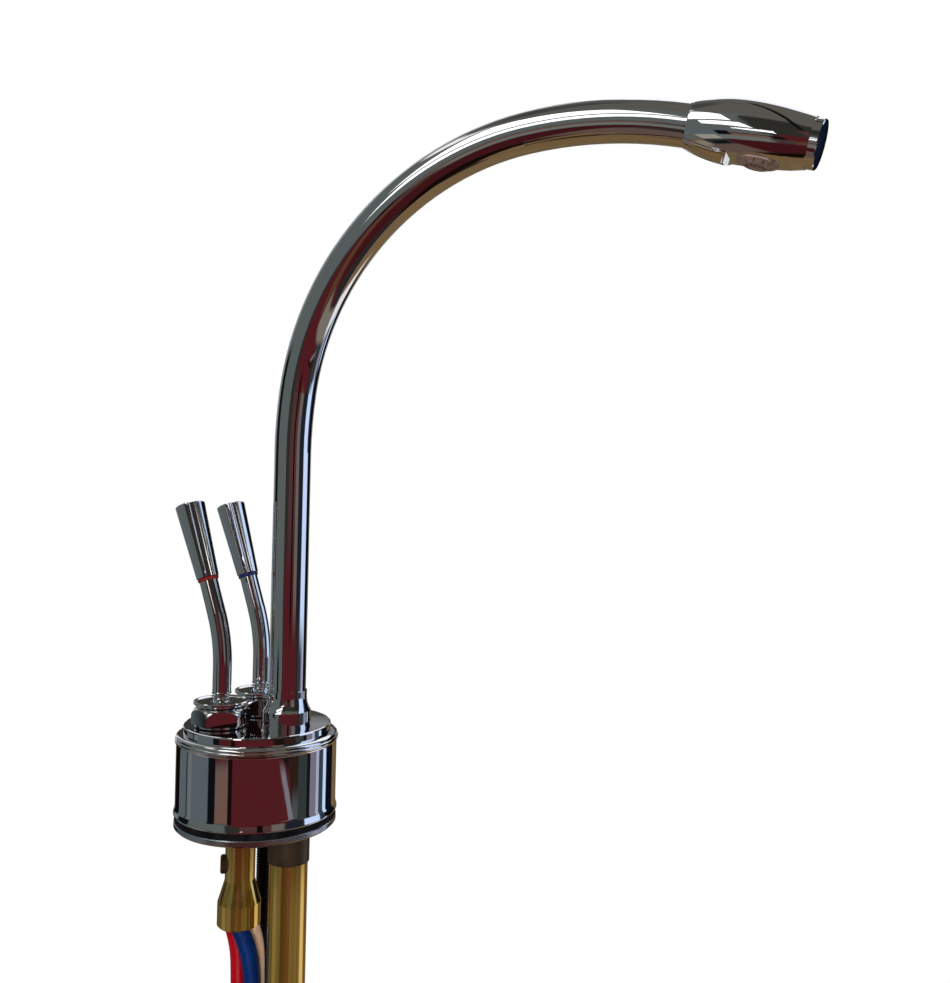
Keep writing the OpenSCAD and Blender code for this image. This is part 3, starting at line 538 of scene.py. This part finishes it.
def makeStud(c, material):
    sizes = {"Radius": c["diameter"] / 2 * mm, "Length": (c["top"] - c["bottom"]) * mm,
             "Pitch": c["pitch"] * mm, "Depth": c["depth"] * mm}
    tree, identifiers = threadTree(c, sizes, material)
    carrier = bpy.data.objects.new("studCarrier", bpy.data.meshes.new("studCarrier"))
    scene.collection.objects.link(carrier)
    grower = carrier.modifiers.new("thread", "NODES")
    grower.node_group = tree
    for name, value in sizes.items():
        grower[identifiers[name]] = value
    evaluated = carrier.evaluated_get(bpy.context.evaluated_depsgraph_get())
    mesh = bpy.data.meshes.new_from_object(evaluated)
    carrier.modifiers.remove(grower)
    bpy.data.objects.remove(carrier)
    mesh.name = "threadedStud"
    mesh.transform(Matrix.Translation(
        (c["axis"][0] * mm, c["axis"][1] * mm, (c["top"] + c["bottom"]) / 2 * mm)))
    turnOutwards(mesh)
    smoothShade(mesh, 30)
    print("  stud", len(mesh.polygons), "faces")
    addPiece("threadedStud", mesh, material, "dark_steel", "base", "mounting_stud")


# The stud's near-black tone is partly real steel and partly painted shade under the base
makeStud(studSizes, finishes["dark_steel"])
print("Stud made")

makeTube("hotTubeLength", 171, finishes["red_tube"], "red_tube", "hot_tube")
makeTube("coldTubeLength", -69, finishes["blue_tube"], "blue_tube", "cold_tube")
makeTube("ventTubeLength", 51, finishes["natural_tube"], "natural_tube", "vent_tube")
print("Tubes made")


# Studio: pale floor, white surround for the camera, and panels that the chrome mirrors

studio = {
    "front": 24.017 - 90,  # azimuth that faces the camera, in degrees
    "surround": (1.0, 1.0, 1.0),
    "ground": (0.03, 0.02, 0.016),
    # Panels, each over those before it: azimuth from the camera (right is plus), elevation,
    # softness, how far the azimuth leans per degree of elevation, and colour
    "panels": [
        ("upperRoom", (-181, 181), (40, 91), 14, 0, (0.107, 0.1, 0.088)),
        ("upperShade", (-150, -82), (62, 80), 10, 0, (0.055, 0.056, 0.053)),
        ("leftRoom", (-141, -26), (-34, 46), 4, 0, (0.103, 0.12, 0.116)),
        ("leftRear", (-181, -141), (-11, 50), 4, 0, (0.7, 0.72, 0.75)),
        ("leftRearSlit", (-157, -151), (-11, 50), 2, 0, (0.05, 0.05, 0.055)),
        ("leftPale", (-141, -122), (-9, 40), 5, 0, (0.22, 0.23, 0.25)),
        ("leftBar", (-117, -91), (-10, 15), 3, 0, (0.004, 0.006, 0.006)),
        ("leftEdge", (-150, -125), (-24, -12), 2, 0, (0.003, 0.003, 0.004)),
        ("frontRoom", (-30, 62), (-8, 41), 5, 0, (0.028, 0.027, 0.022)),
        ("lowLeft", (-181, -80), (-90, -31), 8, 0, (0.172, 0.105, 0.046)),
        ("lowLeftPale", (-127, -90), (-54, -35), 5, 0, (0.24, 0.2, 0.155)),
        ("lowLeftBar", (-134, -128), (-60, -36), 3, 0, (0.055, 0.032, 0.014)),
        ("lowRight", (84, 181), (-78, -11), 4, 0, (0.185, 0.118, 0.056)),
        ("lowMiddle", (58, 84), (-72, -9), 5, 0, (0.02, 0.02, 0.03)),
        ("lowFront", (-78, 84), (-91, -66), 8, 0, (0.008, 0.003, 0.002)),
        ("lowShade", (-90, -20), (-47, -31), 5, 0, (0.03, 0.031, 0.031)),
        ("lowBlack", (-82, -62), (-48, -37), 4, 0, (0.005, 0.006, 0.006)),
        ("lowBeige", (-104, -54), (-64, -45), 6, 0, (0.115, 0.075, 0.062)),
        ("maroonLow", (-58, 40), (-66, -33), 4, 0, (0.052, 0.0075, 0.009)),
        ("maroon", (-22, 62), (-36, -3), 3, 0, (0.084, 0.0125, 0.016)),
        ("headBrown", (-40, -14), (-33, -21), 4, 0, (0.06, 0.038, 0.032)),
        ("maroonHigh", (-9, 36), (-3, 19), 5, 0, (0.085, 0.034, 0.036)),
        ("maroonSlit", (14, 22), (-8, 20), 3, 0, (0.006, 0.002, 0.002)),
        ("paleFront", (34, 52), (-7, 22), 4, 0, (0.15, 0.125, 0.11)),
        ("darkFront", (54, 80), (-8, 34), 4, 0, (0.012, 0.016, 0.025)),
        # What the brass below the deck mirrors
        ("lowOchre", (-86, -62), (-32, -21.5), 3, 0, (0.32, 0.3, 0.26)),
        ("lowStone", (-62, -30), (-32, -21.5), 3, 0, (0.15, 0.155, 0.14)),
        ("lowBrown", (-20, 26), (-32, -21.5), 3, 0, (0.1, 0.045, 0.025)),
        ("lowSand", (26, 92), (-32, -21.5), 3, 0, (0.2, 0.18, 0.15)),
        ("lowBright", (94, 130), (-34, -21), 3, 0, (0.85, 0.85, 0.85)),
        # What the base's shell mirrors: a narrow range of elevations
        ("footLeft", (-125, -58), (-20, -9), 2, 0, (0.1, 0.122, 0.135)),
        ("footLight", (-99, -91), (-20, -9), 2, 0, (0.145, 0.165, 0.178)),
        ("footLine", (-104, -101.5), (-20, -9), 1, 0, (0.012, 0.013, 0.014)),
        ("footBlack", (-59, -47), (-20, -9), 2, 0, (0.004, 0.005, 0.006)),
        ("footTop", (-48, -20), (-15.3, -13), 1, 0, (0.07, 0.012, 0.012)),
        ("footBeige", (-47, -28), (-21, -15.3), 1, 0, (0.16, 0.092, 0.075)),
        ("footEdge", (-28, -22), (-21, -13), 1, 0, (0.01, 0.003, 0.003)),
        ("footCorner", (42, 62), (-15.6, -13.4), 1, -12, (0.01, 0.006, 0.005)),
        ("footBrown", (58, 78), (-17.3, -13.5), 1, -3, (0.028, 0.013, 0.009)),
        ("footGrey", (64, 94), (-20, -17), 1.5, 0, (0.075, 0.078, 0.082)),
        ("footSliver", (53, 60), (-18.6, -15.5), 1, -5.3, (0.19, 0.188, 0.215)),
        ("footDim", (73, 90), (-20, -7), 2, 0, (0.035, 0.041, 0.042)),
        ("footDark", (88, 94), (-20, -7), 1, 0, (0.005, 0.008, 0.008)),
        ("footLilac", (94, 106), (-20, -7), 1, 0, (0.2, 0.17, 0.23)),
        ("footPale", (106, 112), (-20, -7), 1, 0, (0.4, 0.45, 0.58)),
        ("footGap", (112, 122), (-20, -7), 2, 0, (0.035, 0.055, 0.08)),
        ("footBlue", (122, 130), (-20, -7), 2, 0, (0.6, 0.75, 1.0)),
        ("footRight", (130, 151), (-20, -7), 2, 0, (0.003, 0.005, 0.009)),
        # What the spout and the levers mirror on the right
        ("rightBox", (83, 112), (-8, 46), 3, 0, (0.62, 0.76, 1.05)),
        ("rightShade", (112, 123), (-8, 40), 3, 0, (0.024, 0.037, 0.072)),
        ("rightBar", (123, 157), (-8, 44), 3, 0, (0.003, 0.003, 0.004)),
        ("rearLine", (158, 174), (-9, 8), 3, 0, (0.36, 0.35, 0.34)),
        ("rearBox", (136, 176), (24, 60), 4, 0, (1.0, 1.0, 1.06)),
        ("rearGrey", (160, 202), (13, 22), 1, 0, (0.2, 0.2, 0.23)),
        ("rearOlive", (158, 206), (3, 13), 1, 0, (0.045, 0.043, 0.034)),
        ("rearShade", (193, 212), (3, 26), 2, 0, (0.04, 0.038, 0.033)),
        ("rearTan", (165, 212), (-31, -3), 3, 0, (0.15, 0.105, 0.052)),
        ("ceilingLamp", (-126, -80), (50, 57), 3, 0, (0.9, 0.9, 0.9)),
    ],
    # Dark cable overhead: the direction's part to the right, as a curve over its part ahead
    "cable": {"curve": (0.118, -0.06, -0.185), "half": 0.02, "ends": (-0.12, 0.92),
              "lowest": 0.3, "colour": (0.006, 0.006, 0.005)},
}


def makeWorld(s):
    world = bpy.data.worlds.new("studioWorld")
    world.use_nodes = True
    scene.world = world
    tree = world.node_tree
    tree.nodes.clear()

    def node(kind, **inputs):
        made = tree.nodes.new(kind)
        for name, value in inputs.items():
            made.inputs[name.replace("_", " ")].default_value = value
        return made

    def maths(*terms):
        return addMaths(tree, *terms)

    place = tree.nodes.new("ShaderNodeTexCoord").outputs["Generated"]
    split = tree.nodes.new("ShaderNodeSeparateXYZ")
    tree.links.new(place, split.inputs[0])
    x, y, z = split.outputs
    azimuth = maths("MULTIPLY", maths("ARCTAN2", y, x), 180 / math.pi)
    azimuth = maths("SUBTRACT", azimuth, s["front"])
    elevation = maths("MULTIPLY", maths("ARCSINE", z), 180 / math.pi)
    colour = node("ShaderNodeRGB").outputs[0]
    colour.default_value = (*s["ground"], 1)

    for name, sides, levels, soft, lean, tint in s["panels"]:
        across, up = sum(sides) / 2, sum(levels) / 2
        aside = maths("WRAP", maths("SUBTRACT", azimuth, across), 180, -180)
        above = maths("SUBTRACT", elevation, up)
        if lean:
            aside = maths("SUBTRACT", aside, maths("MULTIPLY", above, lean))
        masks = []
        for distance, half in ((aside, sides[1] - across), (above, levels[1] - up)):
            edge = node("ShaderNodeMapRange", From_Min=half + soft / 2, From_Max=half - soft / 2)
            edge.interpolation_type = "SMOOTHSTEP"
            tree.links.new(maths("ABSOLUTE", distance), edge.inputs["Value"])
            masks.append(edge.outputs["Result"])
        mix = tree.nodes.new("ShaderNodeMix")
        mix.data_type = "RGBA"
        mix.label = name
        tree.links.new(maths("MULTIPLY", *masks), mix.inputs[0])
        tree.links.new(colour, mix.inputs[6])
        mix.inputs[7].default_value = (*tint, 1)
        colour = mix.outputs[2]

    facing = math.radians(s["front"])
    cable = s["cable"]
    ahead = maths("ADD", maths("MULTIPLY", x, math.cos(facing)),
                  maths("MULTIPLY", y, math.sin(facing)))
    aside = maths("ADD", maths("MULTIPLY", x, -math.sin(facing)),
                  maths("MULTIPLY", y, math.cos(facing)))
    middle, lean, bow = cable["curve"]
    steer = maths("ADD", maths("MULTIPLY", ahead, bow), lean)
    line = maths("ADD", maths("MULTIPLY", steer, ahead), middle)
    near = maths("LESS_THAN", maths("ABSOLUTE", maths("SUBTRACT", aside, line)), cable["half"])
    inside = maths("MULTIPLY", maths("GREATER_THAN", ahead, cable["ends"][0]),
                   maths("LESS_THAN", ahead, cable["ends"][1]))
    strung = tree.nodes.new("ShaderNodeMix")
    strung.data_type = "RGBA"
    overhead = maths("GREATER_THAN", z, cable["lowest"])
    tree.links.new(maths("MULTIPLY", maths("MULTIPLY", near, inside), overhead), strung.inputs[0])
    tree.links.new(colour, strung.inputs[6])
    strung.inputs[7].default_value = (*cable["colour"], 1)
    colour = strung.outputs[2]

    seen = node("ShaderNodeBackground", Color=(*s["surround"], 1), Strength=1.0)
    mirrored = node("ShaderNodeBackground", Strength=1.0)
    tree.links.new(colour, mirrored.inputs["Color"])
    choose = tree.nodes.new("ShaderNodeMixShader")
    rays = tree.nodes.new("ShaderNodeLightPath")
    tree.links.new(rays.outputs["Is Camera Ray"], choose.inputs[0])
    tree.links.new(mirrored.outputs[0], choose.inputs[1])
    tree.links.new(seen.outputs[0], choose.inputs[2])
    output = tree.nodes.new("ShaderNodeOutputWorld")
    tree.links.new(choose.outputs[0], output.inputs["Surface"])


# Pale round floor that fades into the white surround
floorSettings = {
    "level": -0.33,
    "reach": 1.6,
    "sides": 96,
    "colour": (0.9, 0.89, 0.87, 1),
    "roughness": 0.7,
    "fade": (0.12, 0.5),  # distances from the middle between which it turns white
}


def makeFloor(c):
    reach, sides = c["reach"], c["sides"]
    verts = [Vector((reach * math.cos(2 * math.pi * k / sides),
                     reach * math.sin(2 * math.pi * k / sides), c["level"]))
             for k in range(sides)]
    mesh = bpy.data.meshes.new("paleFloor")
    mesh.from_pydata(verts, [], [tuple(range(sides))])
    floor = bpy.data.objects.new("paleFloor", mesh)
    scene.collection.objects.link(floor)
    material = bpy.data.materials.new("paleFloor")
    material.use_nodes = True
    tree = material.node_tree
    shader = tree.nodes["Principled BSDF"]
    shader.inputs["Base Color"].default_value = c["colour"]
    shader.inputs["Roughness"].default_value = c["roughness"]
    place = tree.nodes.new("ShaderNodeTexCoord").outputs["Object"]
    flat = tree.nodes.new("ShaderNodeVectorMath")
    flat.operation = "MULTIPLY"
    flat.inputs[1].default_value = (1, 1, 0)
    tree.links.new(place, flat.inputs[0])
    length = tree.nodes.new("ShaderNodeVectorMath")
    length.operation = "LENGTH"
    tree.links.new(flat.outputs[0], length.inputs[0])
    fade = tree.nodes.new("ShaderNodeMapRange")
    fade.interpolation_type = "SMOOTHSTEP"
    fade.inputs["From Min"].default_value, fade.inputs["From Max"].default_value = c["fade"]
    tree.links.new(length.outputs["Value"], fade.inputs["Value"])
    glow = tree.nodes.new("ShaderNodeEmission")
    mix = tree.nodes.new("ShaderNodeMixShader")
    tree.links.new(fade.outputs["Result"], mix.inputs[0])
    tree.links.new(shader.outputs[0], mix.inputs[1])
    tree.links.new(glow.outputs[0], mix.inputs[2])
    tree.links.new(mix.outputs[0], tree.nodes["Material Output"].inputs["Surface"])
    mesh.materials.append(material)
    floor.visible_glossy = False
    floor.visible_diffuse = False


# Soft box in three leaves, placed as the outlet head sees it: corners by azimuth from the
# camera and elevation, in degrees; it stands in the plane across "towards"
softBox = {
    "seenFrom": (0.17, 0.0, 0.22),
    "towards": -50.0,
    "distance": 0.5,
    "glow": 1.6,
    "leaves": [
        ((-74, 23), (-38, 23), (-46, 41), (-78, 50)),
        ((-64, 10), (-30, 5), (-33, 17.5), (-66, 19.5)),
        ((-42, -1), (-22, -3.5), (-22, 3), (-42, 0.5)),
    ],
}


def makeSoftBox(s, c):
    verts, faces = [], []
    for leaf in c["leaves"]:
        faces.append(tuple(range(len(verts), len(verts) + 4)))
        for azimuth, elevation in leaf:
            reach = c["distance"] / math.cos(math.radians(azimuth - c["towards"]))
            turn = math.radians(azimuth + s["front"])
            verts.append(Vector(c["seenFrom"]) + reach * Vector(
                (math.cos(turn), math.sin(turn), math.tan(math.radians(elevation)))))
    mesh = bpy.data.meshes.new("softBox")
    mesh.from_pydata(verts, [], faces)
    material = bpy.data.materials.new("softBox")
    material.use_nodes = True
    tree = material.node_tree
    glow = tree.nodes.new("ShaderNodeEmission")
    glow.inputs["Color"].default_value = (1, 0.99, 0.98, 1)
    glow.inputs["Strength"].default_value = c["glow"]
    tree.links.new(glow.outputs[0], tree.nodes["Material Output"].inputs["Surface"])
    mesh.materials.append(material)
    box = bpy.data.objects.new("softBox", mesh)
    scene.collection.objects.link(box)
    box.visible_camera = False
    box.visible_shadow = False


lamps = [
    # name, place, size, watts, colour
    ("leftLamp", (-0.5, -0.75, 0.55), 0.6, 9, (1.0, 0.98, 0.96)),
    ("rightLamp", (0.75, -0.35, 0.35), 0.4, 5, (0.92, 0.96, 1.0)),
    ("topLamp", (0.05, 0.1, 1.1), 0.9, 8, (1.0, 1.0, 1.0)),
    ("lowLamp", (0.25, -0.6, -0.2), 0.4, 5, (1.0, 0.97, 0.93)),
]


def makeLamp(name, place, size, watts, colour):
    data = bpy.data.lights.new(name, "AREA")
    data.size = size
    data.energy = watts
    data.color = colour
    lamp = bpy.data.objects.new(name, data)
    lamp.location = place
    aim = Vector((0.03, 0, 0.0)) - lamp.location
    lamp.rotation_euler = aim.to_track_quat("-Z", "Y").to_euler()
    lamp.visible_glossy = False  # the chrome mirrors the panels instead
    scene.collection.objects.link(lamp)


makeWorld(studio)
makeSoftBox(studio, softBox)
makeFloor(floorSettings)
for lamp in lamps:
    makeLamp(*lamp)
print("Studio made")
